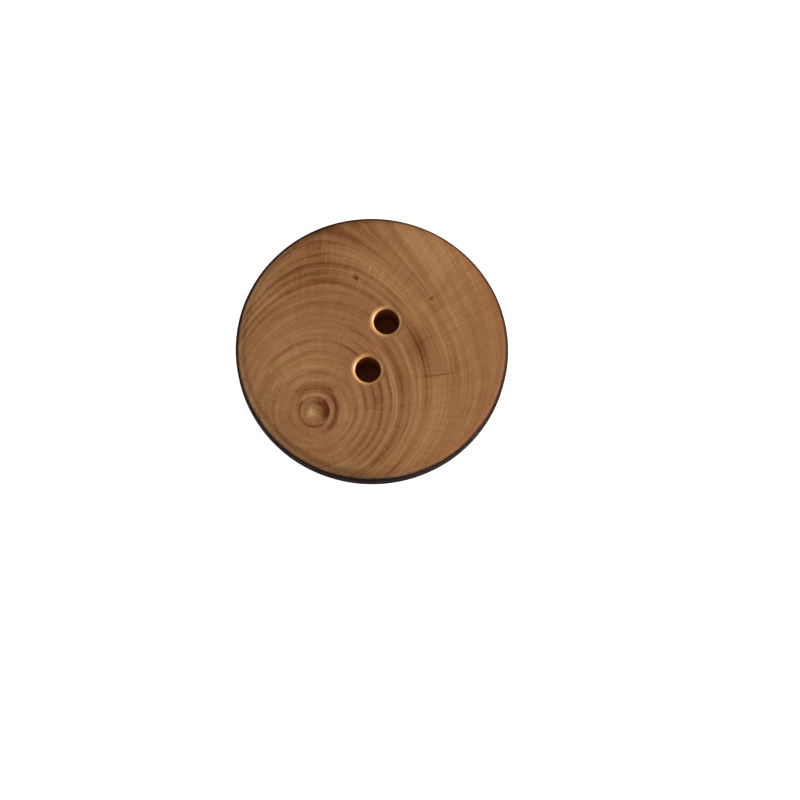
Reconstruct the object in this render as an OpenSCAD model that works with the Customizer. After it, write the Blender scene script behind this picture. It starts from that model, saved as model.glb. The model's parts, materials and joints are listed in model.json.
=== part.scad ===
// Two-hole sew-on button, cut from a slice of a branch so that its face is end grain.
// The origin is the centre of the flat back face, and +Z comes out of the front face.

/* [Disc] */
// Diameter across the rim
disc_d = 38; // [28:0.5:60]
// Thickness from the back face to the front face
disc_t = 5; // [4.2:0.1:8]
// Radius that rounds the front edge
front_round = 1.4; // [0.6:0.1:2.2]
// Radius that rounds the back edge
back_round = 1.8; // [0.4:0.1:1.8]

/* [Sewing holes] */
// Diameter of each sewing hole
hole_d = 3.6; // [1.6:0.1:5]
// Distance between the centres of the two holes
hole_gap = 7.4; // [6:0.1:12]
// Width of the countersunk ring around each hole's mouth, on both faces
countersink_w = 0.25; // [0.1:0.05:0.6]
// How far the pair of holes sits to the side of the disc's centre
pair_aside = 0.65; // [-1.5:0.05:1.5]
// How far the pair of holes sits along its own line from the disc's centre
pair_along = 0.25; // [-1.5:0.05:1.5]

/* [Hidden] */
wood = [0.60, 0.43, 0.27];
disc_r = disc_d / 2;
mouth_r = hole_d / 2 + countersink_w;
cut_past = 1;
$fn = 180;

// What a quarter round of radius round_r takes off a square corner at the origin,
// where the stock lies to the left of the corner and below it
module corner_waste(round_r) {
    difference() {
        translate([-round_r, -round_r]) square(round_r + cut_past);
        translate([-round_r, -round_r]) circle(round_r);
    }
}

// Half section of the disc: flat faces, a short straight wall and a round at each edge
module disc_section() {
    difference() {
        square([disc_r, disc_t]);
        translate([disc_r, disc_t]) corner_waste(front_round);
        translate([disc_r, 0]) mirror([0, 1]) corner_waste(back_round);
    }
}

// A countersink bit with a 90 degree point, whose flank is mouth_r from its axis at z = 0
module countersink_bit() {
    translate([0, 0, -mouth_r])
        cylinder(h = mouth_r + cut_past, r1 = 0, r2 = mouth_r + cut_past);
}

// Everything that drilling one sewing hole takes away: the bore and the two mouths
module hole_waste() {
    translate([0, 0, -cut_past]) cylinder(h = disc_t + 2 * cut_past, d = hole_d);
    translate([0, 0, disc_t]) countersink_bit();
    mirror([0, 0, 1]) countersink_bit();
}

module button_disc() {
    color(wood)
        difference() {
            rotate_extrude() disc_section();
            for (side = [-1, 1])
                translate([pair_aside, pair_along + side * hole_gap / 2, 0]) hole_waste();
        }
}

button_disc();
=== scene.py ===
import json
import math

import bpy
from mathutils import Matrix, Vector


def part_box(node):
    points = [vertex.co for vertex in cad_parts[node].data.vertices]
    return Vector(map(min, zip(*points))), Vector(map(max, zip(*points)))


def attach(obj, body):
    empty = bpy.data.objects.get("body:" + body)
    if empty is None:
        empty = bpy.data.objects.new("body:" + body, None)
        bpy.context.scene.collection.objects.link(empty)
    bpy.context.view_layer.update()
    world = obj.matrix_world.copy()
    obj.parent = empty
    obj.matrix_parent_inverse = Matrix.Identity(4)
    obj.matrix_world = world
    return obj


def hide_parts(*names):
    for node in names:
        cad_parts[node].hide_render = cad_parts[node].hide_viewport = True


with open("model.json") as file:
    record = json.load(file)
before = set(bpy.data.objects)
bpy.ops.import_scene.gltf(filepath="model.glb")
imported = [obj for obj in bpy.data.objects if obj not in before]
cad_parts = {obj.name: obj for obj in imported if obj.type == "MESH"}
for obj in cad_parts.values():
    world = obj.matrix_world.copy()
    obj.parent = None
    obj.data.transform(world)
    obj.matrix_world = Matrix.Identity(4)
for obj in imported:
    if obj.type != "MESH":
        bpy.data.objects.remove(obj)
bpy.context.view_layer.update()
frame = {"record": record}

mm = 0.001
scene = bpy.context.scene
scene.view_settings.view_transform = "Standard"
lowCorner, highCorner = [Vector(corner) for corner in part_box("button_disc")]
holes = [mount for mount in frame["record"]["mounts"] if mount["kind"] == "bore"]
holePlaces = [Vector(hole["pos_m"]) * Vector((1, 1, 0)) for hole in holes]


class Wire:
    # an output socket that adds, scales and compares like a number

    def __init__(self, tree, socket=None):
        self.tree = tree
        self.socket = socket

    def node(self, kind, settings=None, sockets=None, out=0):
        # any node: its settings first, then the values or wires of its sockets
        made = self.tree.nodes.new(kind)
        for name, value in (settings or {}).items():
            if name == "stops":
                fillStops(made.color_ramp, value)
            else:
                setattr(made, name, value)
        for name, value in (sockets or {}).items():
            if isinstance(value, Wire):
                self.tree.links.new(value.socket, made.inputs[name])
            else:
                made.inputs[name].default_value = value
        return Wire(self.tree, made.outputs[out])

    def also(self, out):
        return Wire(self.tree, self.socket.node.outputs[out])     # another output of the same node

    def maths(self, operation, *values, clamp=False):
        settings = {"operation": operation, "use_clamp": clamp}
        return self.node("ShaderNodeMath", settings, dict(enumerate(values)))

    def __add__(self, other):
        return self.maths("ADD", self, other)

    def __radd__(self, other):
        return self.maths("ADD", other, self)

    def __sub__(self, other):
        return self.maths("SUBTRACT", self, other)

    def __rsub__(self, other):
        return self.maths("SUBTRACT", other, self)

    def __mul__(self, other):
        return self.maths("MULTIPLY", self, other)

    def __rmul__(self, other):
        return self.maths("MULTIPLY", other, self)

    def __truediv__(self, other):
        return self.maths("DIVIDE", self, other)

    def __abs__(self):
        return self.maths("ABSOLUTE", self)

    def least(self, other):
        return self.maths("MINIMUM", self, other)

    def most(self, other):
        return self.maths("MAXIMUM", self, other)

    def above(self, other):
        return self.maths("GREATER_THAN", self, other)

    def sine(self):
        return self.maths("SINE", self)

    def cosine(self):
        return self.maths("COSINE", self)

    def sign(self):
        return self.maths("SIGN", self)

    def root(self):
        return self.maths("SQRT", self)

    def held(self):
        return self.maths("ADD", self, 0, clamp=True)     # kept between 0 and 1

    def pick(self, first, second):
        # first where this mask is 0, second where it is 1
        return first + self * (second - first)

    def ramp(self, low, high):
        # a soft step, 0 at low and 1 at high
        sockets = {"Value": self, "From Min": low, "From Max": high}
        return self.node("ShaderNodeMapRange", {"interpolation_type": "SMOOTHSTEP"}, sockets)

    def along(self, points):
        # a soft line through (place, height) points
        first, last = points[0][0], points[-1][0]
        share = self.node("ShaderNodeMapRange", {}, {"Value": self, "From Min": first, "From Max": last})
        stops = [((place - first) / (last - first), (height, height, height, 1)) for place, height in points]
        return share.colors(stops)

    def colors(self, stops):
        # a colour ramp of (place, colour) stops
        return self.node("ShaderNodeValToRGB", {"stops": stops}, {0: self})

    def blend(self, first, second):
        # colours: first where this mask is 0, second where it is 1
        settings = {"data_type": "RGBA", "clamp_factor": True}
        return self.node("ShaderNodeMix", settings, {0: self, 6: first, 7: second}, out=2)

    def split(self):
        # the x, y and z of a vector
        first = self.node("ShaderNodeSeparateXYZ", {}, {0: self})
        return first, first.also(1), first.also(2)

    def scaled(self, amount):
        return self.node("ShaderNodeVectorMath", {"operation": "SCALE"}, {0: self, "Scale": amount})

    def noise(self, scale, detail=2, roughness=0.5):
        # noise about zero, read at this place
        sockets = {"Vector": self, "Scale": scale, "Detail": detail, "Roughness": roughness}
        return self.node("ShaderNodeTexNoise", {}, sockets) - 0.5


def fillStops(colorRamp, stops):
    colorRamp.interpolation = "EASE"
    while len(colorRamp.elements) > 1:
        colorRamp.elements.remove(colorRamp.elements[-1])
    for number, (place, color) in enumerate(stops):
        stop = colorRamp.elements.new(place) if number else colorRamp.elements[0]
        stop.position = place
        stop.color = color


def point(x, y, z):
    # a vector from three wires
    return x.node("ShaderNodeCombineXYZ", {}, {0: x, 1: y, 2: z})


def length(x, y):
    return (x * x + y * y).root()


def linear(red, green, blue):
    # a colour as picked on a screen, 0 to 255, in Blender's linear scale
    def channel(value):
        value /= 255
        return value / 12.92 if value <= 0.04045 else ((value + 0.055) / 1.055) ** 2.4
    return (channel(red), channel(green), channel(blue), 1)


print("helpers ready")

# how the branch grew, in millimetres, seen on the sawn face
growth = {
    "heart": (-4.15, -11.65),            # the pith, well off the middle of the disc
    "reach": 20,                         # the distance from it at which the next five take full effect
    "upLean": (-0.15, -0.08),            # rings run wider on the upper side than on the lower
    "ovalAlong": (0.07, -0.02),          # and a little oval, straight and aslant
    "ovalAslant": (-0.03, 0.02),
    "cornerAlong": (-0.02, -0.01),       # and a little three-cornered
    "cornerAslant": (0.02, -0.04),
    "lateFrom": 14.4,                    # the last years grew wider on the right than on the upper side
    "lateStretch": 0.33,
    "lateSide": (112, -0.05, 0.88),      # a side: degrees from +X, then the cosines it fades in between
    "topSide": (112, 0.6, 0.82),
    "rightSide": (18, 0.54, 0.76),
    "wander": 0.16,
    "wanderScale": 0.4,
    "split": 10.5,                       # the age at which the inner tones give way to the outer
}

# tone of the rings by their age, 0 dark to 1 pale, on three sides of the heart
rightRings = {
    "inner": [(0, 0.84), (0.35, 0.6), (0.6, 0.46), (1.0, 0.56), (1.4, 0.42), (2.0, 0.24), (2.2, 0.5),
              (2.4, 0.68), (2.7, 0.44), (2.95, 0.16), (3.25, 0.2), (3.5, 0.46), (3.7, 0.64), (3.9, 0.55),
              (4.2, 0.66), (4.8, 0.5), (5.1, 0.6), (5.55, 0.44), (6.1, 0.62), (6.5, 0.56), (6.85, 0.4),
              (7.35, 0.6), (7.8, 0.5), (8.1, 0.36), (8.7, 0.52), (9.1, 0.3), (9.3, 0.45), (9.6, 0.6),
              (9.9, 0.52), (10.15, 0.36), (10.5, 0.58)],
    "outer": [(10.5, 0.58), (10.9, 0.62), (11.2, 0.44), (11.6, 0.34), (11.95, 0.42), (12.2, 0.52),
              (12.5, 0.4), (12.95, 0.62), (13.3, 0.5), (13.7, 0.58), (14.1, 0.48), (14.4, 0.34),
              (14.7, 0.48), (15.4, 0.62), (16.0, 0.56), (16.6, 0.5), (17.1, 0.54), (17.7, 0.42),
              (18.2, 0.52), (18.5, 0.44), (18.9, 0.52), (19.2, 0.46), (19.6, 0.52), (20.1, 0.44),
              (20.8, 0.5)],
}
topRings = {
    "inner": [(0, 0.8), (0.45, 0.46), (0.9, 0.62), (1.35, 0.34), (1.7, 0.52), (2.0, 0.48), (2.4, 0.72),
              (2.75, 0.42), (3.05, 0.27), (3.8, 0.32), (4.3, 0.54), (4.55, 0.62), (4.8, 0.54),
              (5.2, 0.42), (5.6, 0.52), (6.1, 0.64), (6.5, 0.54), (7.0, 0.56), (7.7, 0.48), (8.2, 0.54),
              (8.6, 0.56), (8.95, 0.34), (9.2, 0.52), (9.6, 0.5), (10.1, 0.54), (10.5, 0.5)],
    "outer": [(10.5, 0.5), (10.8, 0.46), (11.2, 0.56), (11.5, 0.46), (11.85, 0.58), (12.2, 0.46),
              (12.6, 0.42), (13.0, 0.52), (13.4, 0.44), (13.75, 0.58), (14.07, 0.32), (14.4, 0.58),
              (14.77, 0.36), (15.1, 0.56), (15.5, 0.38), (15.8, 0.62), (16.5, 0.66), (16.9, 0.52),
              (17.2, 0.4), (17.6, 0.52), (18.0, 0.4), (18.4, 0.5), (18.8, 0.4), (19.3, 0.56),
              (19.7, 0.62), (20.1, 0.42), (20.5, 0.58), (21, 0.5)],
}
leftRings = {
    "inner": [(0, 0.5), (0.45, 0.8), (0.9, 0.56), (1.4, 0.42), (1.7, 0.52), (1.95, 0.42), (2.15, 0.18),
              (2.4, 0.46), (2.8, 0.52), (3.4, 0.47), (4.0, 0.55), (4.5, 0.5), (5.3, 0.56), (5.9, 0.42),
              (6.5, 0.54), (7.1, 0.5), (7.7, 0.44), (8.2, 0.44), (8.9, 0.58), (9.3, 0.56), (9.7, 0.44),
              (10.1, 0.5), (10.5, 0.56)],
    "outer": [(10.5, 0.56), (11.0, 0.42), (11.4, 0.54), (11.7, 0.46), (12.1, 0.54), (12.5, 0.42),
              (13.2, 0.5), (13.7, 0.6), (14.1, 0.56), (14.45, 0.3), (14.8, 0.54), (15.6, 0.6),
              (16.3, 0.46), (17.2, 0.54), (18.4, 0.46), (19.6, 0.5)],
}


def facing(cosine, sine, degrees, low, high):
    # how nearly this direction from the heart points the given way, from 0 to 1
    turn = math.radians(degrees)
    return (cosine * math.cos(turn) + sine * math.sin(turn)).ramp(low, high)


def lean(sides, share):
    # a change that grows with the share of the reach
    return share * sides[0] + share * share * sides[1]


def ringPlace(bench):
    # ring age in millimetres, and the direction and distance from the heart
    x, y, z = bench.split()
    east, north = x - growth["heart"][0], y - growth["heart"][1]
    away = length(east, north).most(0.01)
    cosine, sine = east / away, north / away
    share = away / growth["reach"]
    stretch = 1 + lean(growth["upLean"], share) * sine
    stretch += lean(growth["ovalAlong"], share) * (cosine * cosine - sine * sine)
    stretch += lean(growth["ovalAslant"], share) * (2 * sine * cosine)
    stretch += lean(growth["cornerAlong"], share) * cosine * (4 * cosine * cosine - 3)
    stretch += lean(growth["cornerAslant"], share) * sine * (3 - 4 * sine * sine)
    age = away * stretch + bench.noise(growth["wanderScale"], detail=1) * growth["wander"]
    late = (age - growth["lateFrom"]).most(0)
    age += late * growth["lateStretch"] * facing(cosine, sine, *growth["lateSide"])
    return age, cosine, sine, away


def ringTone(age, cosine, sine):
    # the three tables, blended round the heart
    def side(rings):
        return age.above(growth["split"]).pick(age.along(rings["inner"]), age.along(rings["outer"]))

    upper = facing(cosine, sine, *growth["topSide"]).pick(side(leftRings), side(topRings))
    return facing(cosine, sine, *growth["rightSide"]).pick(upper, side(rightRings))


def holeGap(bench):
    # millimetres from the nearer hole's middle line
    x, y, z = bench.split()
    gaps = [length(x - place.x / mm, y - place.y / mm) for place in holePlaces]
    return gaps[0].least(gaps[1])


# the turned and drilled disc; these become the named inputs of its node tree
disc = {
    "Radius": (highCorner.x - lowCorner.x) / 2,
    "Thickness": highCorner.z,
    "Front Round": 1.4 * mm,
    "Back Round": 1.8 * mm,
    "Edge Share": 0.1,                   # how much of the half width's cells go round the edge
    "Cells": 180,
    "Wall Cells": 5,
    "Hole Radius": holes[0]["dims"]["r_mm"] * mm,
    "First Hole": holePlaces[0],
    "Hole Step": holePlaces[1] - holePlaces[0],
    "Hole Count": len(holes),
    "Mouth Width": 0.72 * mm,            # each mouth is worn to a quarter of an ellipse
    "Mouth Depth": 0.36 * mm,
    "Mouth Sweep": math.radians(85),
    "Hole Sides": 96,
    "Hole Rows": 40,
    "Hole Wander": 0.03 * mm,
    "Ring Relief": 0.03 * mm,            # soft pale wood sands lower than the hard dark lines
    "Hardest Tone": 0.2,
    "Relief Starts": 2.8,                # millimetres from a hole's middle
    "Relief Full": 3.6,
    "Rim Wander": 0.05 * mm,             # the edge isn't quite true
    "Crease": math.radians(24),          # edges sharper than this stay crisp
}
socketKinds = {int: "NodeSocketInt", float: "NodeSocketFloat", Vector: "NodeSocketVector"}


def discBlank(start, size):
    # a cube of cells, pressed round: its sides become the wall, its outer cells the rounded edges
    cells = size["Cells"] + 1
    sockets = {"Size": (2, 2, 2), "Vertices X": cells, "Vertices Y": cells,
               "Vertices Z": size["Wall Cells"] + 1}
    cube = start.node("GeometryNodeMeshCube", {}, sockets)
    x, y, z = start.node("GeometryNodeInputPosition").split()
    wide = abs(x).most(abs(y))
    isWide = 1 - abs(y).above(abs(x))
    turn = x * y / (wide * wide) * (math.pi / 4)
    long, short = turn.cosine(), turn.sine()
    east = isWide.pick(y.sign() * short, x.sign() * long)
    north = isWide.pick(y.sign() * long, x.sign() * short)

    flatShare = 1 - size["Edge Share"]
    roll = ((wide - flatShare) / size["Edge Share"]).held() * (math.pi / 2)
    rise = z * 0.5 + 0.5
    rounding = rise.pick(size["Back Round"], size["Front Round"])
    flat = (size["Radius"] - rounding) * (wide / flatShare).least(1)
    reach = flat + rounding * roll.sine()
    drop = 1 - roll.cosine()
    top = size["Thickness"] - size["Front Round"] * drop
    height = rise.pick(size["Back Round"] * drop, top)

    # hand finishing: the dark rings stand a hair proud, and the edge wanders
    place = point(east * reach, north * reach, height)
    bench = place.scaled(1 / mm)
    age, cosine, sine, away = ringPlace(bench)
    onFace = abs(z).above(0.99) * (1 - drop) * holeGap(bench).ramp(size["Relief Starts"], size["Relief Full"])
    sunk = (ringTone(age, cosine, sine) - size["Hardest Tone"]).held() * size["Ring Relief"] * onFace
    worn = (bench.noise(0.12) + 0.5).held() * size["Rim Wander"] * (wide - 0.5).held() * 2
    reach = reach - worn
    place = point(east * reach, north * reach, height - z * sunk)
    return start.node("GeometryNodeSetPosition", {}, {"Geometry": cube, "Position": place})


def holeCutters(start, size):
    # one drill with eased mouths, repeated along the hole step
    sockets = {"Vertices": size["Hole Sides"], "Side Segments": size["Hole Rows"],
               "Radius": 1.0, "Depth": 2.0}
    rod = start.node("GeometryNodeMeshCylinder", {}, sockets)
    x, y, z = start.node("GeometryNodeInputPosition").split()
    half = size["Thickness"] * 0.5
    straightShare, mouthShare, past = 0.25, 0.65, 0.3 * mm     # shares of the rows, and the run past the face
    up = abs(z)
    turn = ((up - straightShare) / mouthShare).held() * size["Mouth Sweep"]
    straight = half - size["Mouth Depth"] * size["Mouth Sweep"].sine()
    beyond = ((up - straightShare - mouthShare) / (1 - straightShare - mouthShare)).held() * past
    height = (up / straightShare).least(1) * straight + size["Mouth Depth"] * turn.sine() + beyond
    flare = size["Mouth Width"] * (1 - turn.cosine()) + beyond
    across = length(x, y).most(0.001)
    ragged = point(x / across * 2, y / across * 2, height * (0.6 / mm)).noise(1) * size["Hole Wander"]
    reach = (size["Hole Radius"] + flare + abs(ragged)) * across
    place = point(x / across * reach, y / across * reach, half + z.sign() * height)
    drill = start.node("GeometryNodeSetPosition", {}, {"Geometry": rod, "Position": place})
    sockets = {"Count": size["Hole Count"], "Start Location": size["First Hole"], "Offset": size["Hole Step"]}
    places = start.node("GeometryNodeMeshLine", {"mode": "OFFSET"}, sockets)
    stood = start.node("GeometryNodeInstanceOnPoints", {}, {"Points": places, "Instance": drill})
    return start.node("GeometryNodeRealizeInstances", {}, {"Geometry": stood})


def discTree(finish):
    # blank less drills, creased, made real and given its finish
    tree = bpy.data.node_groups.new("drilledDisc", "GeometryNodeTree")
    for name, value in disc.items():
        tree.interface.new_socket(name, in_out="INPUT", socket_type=socketKinds[type(value)])
    tree.interface.new_socket("Button", in_out="OUTPUT", socket_type="NodeSocketGeometry")
    inputs = tree.nodes.new("NodeGroupInput")
    size = {name: Wire(tree, inputs.outputs[name]) for name in disc}
    start = Wire(tree)
    sockets = {"Mesh 1": discBlank(start, size), "Mesh 2": holeCutters(start, size)}
    settings = {"operation": "DIFFERENCE", "solver": "MANIFOLD"}
    drilled = start.node("GeometryNodeMeshBoolean", settings, sockets)
    smooth = start.node("GeometryNodeSetShadeSmooth", {"domain": "FACE"}, {"Geometry": drilled})
    sharp = start.node("GeometryNodeInputMeshEdgeAngle").above(size["Crease"])
    sockets = {"Geometry": smooth, "Selection": sharp, "Shade Smooth": False}
    creased = start.node("GeometryNodeSetShadeSmooth", {"domain": "EDGE"}, sockets)
    whole = start.node("GeometryNodeRealizeInstances", {}, {"Geometry": creased})
    done = start.node("GeometryNodeSetMaterial", {}, {"Geometry": whole, "Material": finish})
    output = tree.nodes.new("NodeGroupOutput")
    tree.links.new(done.socket, output.inputs["Button"])
    return tree


def makeButton(finish):
    # the tree's result as a plain mesh at the origin
    piece = bpy.data.objects.new("wooden_button", bpy.data.meshes.new("blank"))
    scene.collection.objects.link(piece)
    shaper = piece.modifiers.new("drilledDisc", "NODES")
    shaper.node_group = discTree(finish)
    for item in shaper.node_group.interface.items_tree:
        if item.in_out == "INPUT":
            shaper[item.identifier] = disc[item.name]
    evaluated = piece.evaluated_get(bpy.context.evaluated_depsgraph_get())
    mesh = bpy.data.meshes.new_from_object(evaluated)
    piece.modifiers.remove(shaper)
    piece.data = mesh
    return piece


# oiled end grain, scorched round its edge
wood = {
    "tones": [(0, linear(84, 44, 22)), (0.25, linear(118, 77, 42)), (0.5, linear(144, 105, 66)),
              (0.75, linear(162, 124, 81)), (1, linear(184, 145, 98))],
    "ruddyTones": [(0, linear(88, 42, 22)), (0.25, linear(120, 71, 42)), (0.5, linear(146, 98, 66)),
                   (0.75, linear(164, 117, 82)), (1, linear(184, 140, 99))],
    "ruddyShare": 0.35,
    "ruddyPatches": 1.6,
    "ruddyMiddle": ((0, 0), 6, 6, 0, 0.3),
    # how much each part of the grain changes the tone, and how fine it is
    "contrast": 0.95,
    "lines": 0.4,
    "linesPerMm": 2.8,
    "hairs": 0.56,
    "hairsPerMm": 7,
    "rays": 0.32,
    "innerRays": 30,
    "outerRays": 60,
    "raysChange": (8, 16),               # millimetres from the heart
    "rayStretch": 0.25,
    "clouds": 0.2,
    "cloudsPerMm": 0.22,
    "tooth": 0.4,
    "toothPerMm": 6,
    # soft spots and drifts of tone, partly the wood's own and partly painted light and shade, paler towards
    # the right and darker at the upper left: middle, along, across, degrees, shift
    "boldGrain": ((4, -4), 9, 7, 0, 0.5),
    "driftsAndShading": [((-12.5, 9), 9, 6, 55, -0.22), ((11, -6), 12, 10, 90, 0.08), ((3, 16), 13, 8, -15, 0.16),
               ((9, 7), 8, 7, 0, 0.1), ((5, -5), 11, 8, 0, -0.04), ((-11, -5), 9, 11, 0, 0.1),
               ((6.4, 2.4), 6, 3, -52, -0.24), ((-4.6, -12.1), 1.3, 0.8, 75, 0.35)],
    # a dark stain beside the heart, held in by the second ring
    "stain": 0.32,
    "stainSide": (42, 0.2, 0.9),
    "stainInner": (0.5, 1.2),
    "stainOuter": (2.15, 1.95),
    # pits, ticks and a fine crack in the front face
    "flecks": [((-5.5, 8.4), 0.8, 0.55, -40, -0.4), ((5.4, 9.3), 0.6, 0.4, 50, -0.35),
               ((10.0, -0.8), 4.8, 0.15, 28, -0.34), ((-5.0, 8.2), 0.4, 0.2, -60, 0.4),
               ((-4.2, 10.3), 0.8, 0.2, 95, 0.35), ((-4.6, 7.5), 3, 0.2, 93, 0.12),
               ((0.75, 0.1), 1.8, 0.18, 85, 0.16)],
    # the edge, in millimetres from the middle of the disc
    # a toasted edge, and the same colour used as painted shade on the key-lit right side
    "toastAndShadeColor": linear(92, 55, 30),
    "toastAndShadeRange": (17.5, 18.5),
    "toastEven": 0.06,
    "keySideShadeStrength": 0.9,                 # painted shade: the right side is darkened where the key light brightens the rounded edge
    "scorch": linear(15, 7, 5),
    "scorchStreak": linear(50, 29, 18),
    "scorchRange": (18.5, 18.98),
    "streaks": 60,
    "wallRange": (4.4, 3.0),             # the heights over which the scorching takes the wall
    "wallScorch": 1.3,
    "fresh": linear(174, 132, 80),       # bare wood at the eased mouths
    "freshRange": (2.5, 1.95),
    "boreBrown": linear(138, 78, 34),
    "boreRange": (1.88, 1.82),
    "roughness": 0.52,
    "scorchRoughness": 0.95,
    "specular": 0.05,
    "mouthPolish": 0.5,                  # the thread has burnished the mouths
    "polishRoughness": 0.4,
    "subsurface": 0.2,
    "subsurfaceReach": 0.8 * mm,
    "subsurfaceTint": (1, 0.45, 0.2),
    "bumpDepth": 0.06 * mm,
    "bumpStrength": 0.5,
}


def mark(x, y, middle, along, across, degrees, shift):
    # a soft spot or tick, in millimetres, that shifts the tone
    turn = math.radians(degrees)
    east, north = x - middle[0], y - middle[1]
    u = (east * math.cos(turn) + north * math.sin(turn)) / along
    v = (north * math.cos(turn) - east * math.sin(turn)) / across
    return length(u, v).ramp(1, 0) * shift


def endGrainWood():
    finish = bpy.data.materials.new("end_grain_wood")
    finish.use_nodes = True
    tree = finish.node_tree
    tree.nodes.clear()
    start = Wire(tree)
    bench = start.node("ShaderNodeTexCoord", out="Object").scaled(1 / mm)
    x, y, z = bench.split()
    rim = length(x, y)
    age, cosine, sine, away = ringPlace(bench)

    def rayNoise(count):
        return point(cosine * count, sine * count, away * wood["rayStretch"]).noise(1, detail=2)

    # fine lines within each ring, rays across them, broad clouds and a fine tooth
    lines = point(age * wood["linesPerMm"], cosine * 1.3, sine * 1.3).noise(1, detail=3, roughness=0.6)
    hairs = point(age * wood["hairsPerMm"], cosine * 2, sine * 2).noise(1, detail=2)
    rays = away.ramp(*wood["raysChange"]).pick(rayNoise(wood["innerRays"]), rayNoise(wood["outerRays"]))
    clouds = bench.noise(wood["cloudsPerMm"], detail=2)
    tooth = bench.noise(wood["toothPerMm"], detail=2)
    contrast = wood["contrast"] + mark(x, y, *wood["boldGrain"])
    tone = 0.5 + (ringTone(age, cosine, sine) - 0.5) * contrast
    tone += lines * wood["lines"] + hairs * wood["hairs"] + rays * wood["rays"]
    tone += clouds * wood["clouds"] + tooth * wood["tooth"]
    # some of these drifts are painted light and shade: paler towards the right, darker at the upper left
    for driftAndShade in wood["driftsAndShading"]:
        tone += mark(x, y, *driftAndShade)
    stained = facing(cosine, sine, *wood["stainSide"])
    tone -= stained * age.ramp(*wood["stainInner"]) * age.ramp(*wood["stainOuter"]) * wood["stain"]
    front = z.above(disc["Thickness"] / mm / 2)
    for fleck in wood["flecks"]:
        tone += mark(x, y, *fleck) * front
    tone = tone.held()
    ruddy = bench.noise(0.5, detail=3) * wood["ruddyPatches"] + wood["ruddyShare"]
    ruddy = (ruddy + mark(x, y, *wood["ruddyMiddle"])).held()
    color = ruddy.blend(tone.colors(wood["tones"]), tone.colors(wood["ruddyTones"]))

    # the edge: toasted brown first, more heavily on the right as painted shade where the key light brightens
    # the rounding, then scorched nearly black, with the grain showing as streaks
    streaks = point(cosine * wood["streaks"], sine * wood["streaks"], z * 0.3).noise(1, detail=3)
    edge = rim + streaks * 0.2 + clouds * 0.25 + z.ramp(*wood["wallRange"]) * wood["wallScorch"]
    # painted shade: the toast is heavier towards the right, where the key light brightens the rounded edge
    keySideShade = (x * 0.028 + y * 0.01 + 0.5).held()
    amount = wood["toastEven"] + keySideShade * keySideShade * wood["keySideShadeStrength"]
    toastAndShade = (edge + keySideShade * 0.25).ramp(*wood["toastAndShadeRange"]) * amount
    color = toastAndShade.blend(color, wood["toastAndShadeColor"])
    shadeCreep = 0.21 - x * 0.0037 + y * 0.0087 + (x * x - y * y) * 0.0002     # painted shade: the scorch runs in further on the left and upper sides
    scorched = (edge + shadeCreep).ramp(*wood["scorchRange"])
    char = (streaks * 1.1 + clouds * 0.8 + 0.16).held().blend(wood["scorch"], wood["scorchStreak"])
    color = scorched.blend(color, char)

    # bare wood at the eased mouths, brown inside the bores
    nearHole = holeGap(bench)
    bare = nearHole.ramp(*wood["freshRange"])
    color = bare.blend(color, wood["fresh"])
    color = nearHole.ramp(*wood["boreRange"]).blend(color, wood["boreBrown"])

    rough = wood["roughness"] - rays * 0.25 + tooth * 0.3 + (1 - tone) * 0.1
    rough = scorched.pick(rough, wood["scorchRoughness"])
    height = tone * 0.35 + rays * 0.5 + tooth * 0.5 + lines * 0.3
    sockets = {"Strength": wood["bumpStrength"], "Distance": wood["bumpDepth"], "Height": height}
    bump = start.node("ShaderNodeBump", {}, sockets)
    sockets = {"Base Color": color, "Roughness": rough, "Normal": bump,
               "Coat Weight": bare * wood["mouthPolish"], "Coat Roughness": wood["polishRoughness"],
               "Specular IOR Level": wood["specular"], "Subsurface Weight": wood["subsurface"],
               "Subsurface Radius": wood["subsurfaceTint"], "Subsurface Scale": wood["subsurfaceReach"]}
    shader = start.node("ShaderNodeBsdfPrincipled", {}, sockets)
    output = tree.nodes.new("ShaderNodeOutputMaterial")
    tree.links.new(shader.socket, output.inputs["Surface"])
    return finish


button = makeButton(endGrainWood())
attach(button, "root")
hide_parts("button_disc")
print("button ready:", len(button.data.polygons), "faces")


# the table and the lights
studio = {
    "floorSize": 1.2,
    "floorDrop": 0.02 * mm,
    "floorColor": (0.5, 0.5, 0.5, 1),
    "floorRoughness": 0.9,
    "floorGlow": 0.98,
    "padRadius": 10 * mm,
    "padSides": 48,
    "padColor": (0.3, 0.075, 0.032, 1),
    "skyStrength": 0.4,
    "keyPower": 1.58,                    # from the right, low across the face
    "keyTurn": 20,
    "keyRise": 10,
    "fillPower": 0.3,                    # and a weaker one opposite
    "fillTurn": 200,
    "fillRise": 12,
    "lampSize": 0.05,
    "lampAway": 0.22,
    "lampColor": (1, 0.97, 0.91),
}


def paleFloor():
    half, low = studio["floorSize"] / 2, -studio["floorDrop"]
    mesh = bpy.data.meshes.new("floor")
    corners = [(-half, -half, low), (half, -half, low), (half, half, low), (-half, half, low)]
    mesh.from_pydata(corners, [], [(0, 1, 2, 3)])
    finish = bpy.data.materials.new("pale_floor")
    finish.use_nodes = True
    shader = finish.node_tree.nodes["Principled BSDF"]
    shader.inputs["Base Color"].default_value = studio["floorColor"]
    shader.inputs["Roughness"].default_value = studio["floorRoughness"]
    shader.inputs["Emission Color"].default_value = (1, 1, 1, 1)
    shader.inputs["Emission Strength"].default_value = studio["floorGlow"]
    mesh.materials.append(finish)
    floor = bpy.data.objects.new("floor", mesh)
    scene.collection.objects.link(floor)


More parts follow.
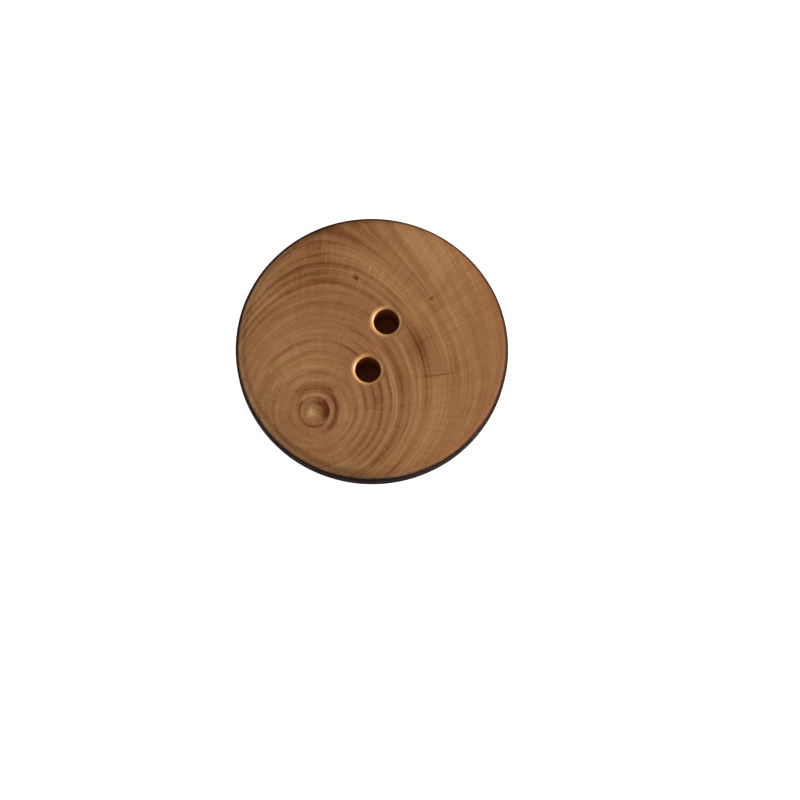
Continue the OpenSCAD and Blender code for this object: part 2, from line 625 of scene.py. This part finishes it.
def holeShadePad():
    # a thin dark pad under the disc: painted shade at the bottom of the holes, so they look down onto
    # something dark instead of the glowing floor
    mesh = bpy.data.meshes.new("hole_shade_pad")
    radius, low, sides = studio["padRadius"], -studio["floorDrop"] / 2, studio["padSides"]
    turns = [math.tau * number / sides for number in range(sides)]
    corners = [(radius * math.cos(turn), radius * math.sin(turn), low) for turn in turns]
    mesh.from_pydata(corners, [], [tuple(range(sides))])
    finish = bpy.data.materials.new("painted_hole_shade")
    finish.use_nodes = True
    shader = finish.node_tree.nodes["Principled BSDF"]
    shader.inputs["Base Color"].default_value = studio["padColor"]
    shader.inputs["Roughness"].default_value = 1
    mesh.materials.append(finish)
    pad = bpy.data.objects.new("hole_shade_pad", mesh)
    scene.collection.objects.link(pad)


def around(turn, rise, away):
    # a place around the button: degrees from +X, degrees up, metres away
    turn, rise = math.radians(turn), math.radians(rise)
    flat = math.cos(rise)
    return Vector((math.cos(turn) * flat, math.sin(turn) * flat, math.sin(rise))) * away


def softLamp(name, power, turn, rise):
    light = bpy.data.lights.new(name, "AREA")
    light.shape = "DISK"
    light.size = studio["lampSize"]
    light.energy = power
    light.color = studio["lampColor"]
    lamp = bpy.data.objects.new(name, light)
    scene.collection.objects.link(lamp)
    place = around(turn, rise, studio["lampAway"])
    lamp.location = place
    lamp.rotation_euler = place.to_track_quat("Z", "Y").to_euler()


paleFloor()
holeShadePad()
softLamp("key", studio["keyPower"], studio["keyTurn"], studio["keyRise"])
softLamp("fill", studio["fillPower"], studio["fillTurn"], studio["fillRise"])
world = bpy.data.worlds.new("studio")
world.use_nodes = True
sky = world.node_tree.nodes["Background"]
sky.inputs["Color"].default_value = (1, 1, 1, 1)
sky.inputs["Strength"].default_value = studio["skyStrength"]
scene.world = world
print("studio ready")

# a long lens, nearly overhead, held a little askew
view = {
    "turn": 13.79,                       # degrees from straight in front, towards +X
    "rise": 75.26,
    "tilt": 6.516,
    "away": 263.9 * mm,
    "lens": 85,
    "aimAside": 3.9 * mm,
    "aimUp": -6.96 * mm,
    "nearest": 0.01,
}


def placeCamera():
    camera = bpy.data.objects.new("camera", bpy.data.cameras.new("camera"))
    scene.collection.objects.link(camera)
    back = around(view["turn"] - 90, view["rise"], 1)
    right = Vector((0, 0, 1)).cross(back).normalized()
    up = back.cross(right)
    tilt = math.radians(view["tilt"])
    level, upright = right, up
    right = level * math.cos(tilt) + upright * math.sin(tilt)
    up = upright * math.cos(tilt) - level * math.sin(tilt)
    aim = Vector((0, 0, disc["Thickness"] / 2)) + right * view["aimAside"] + up * view["aimUp"]
    turned = Matrix((right, up, back)).transposed().to_4x4()
    camera.matrix_world = Matrix.Translation(aim + back * view["away"]) @ turned
    camera.data.lens = view["lens"]
    camera.data.clip_start = view["nearest"]
    scene.camera = camera


placeCamera()
print("camera ready")
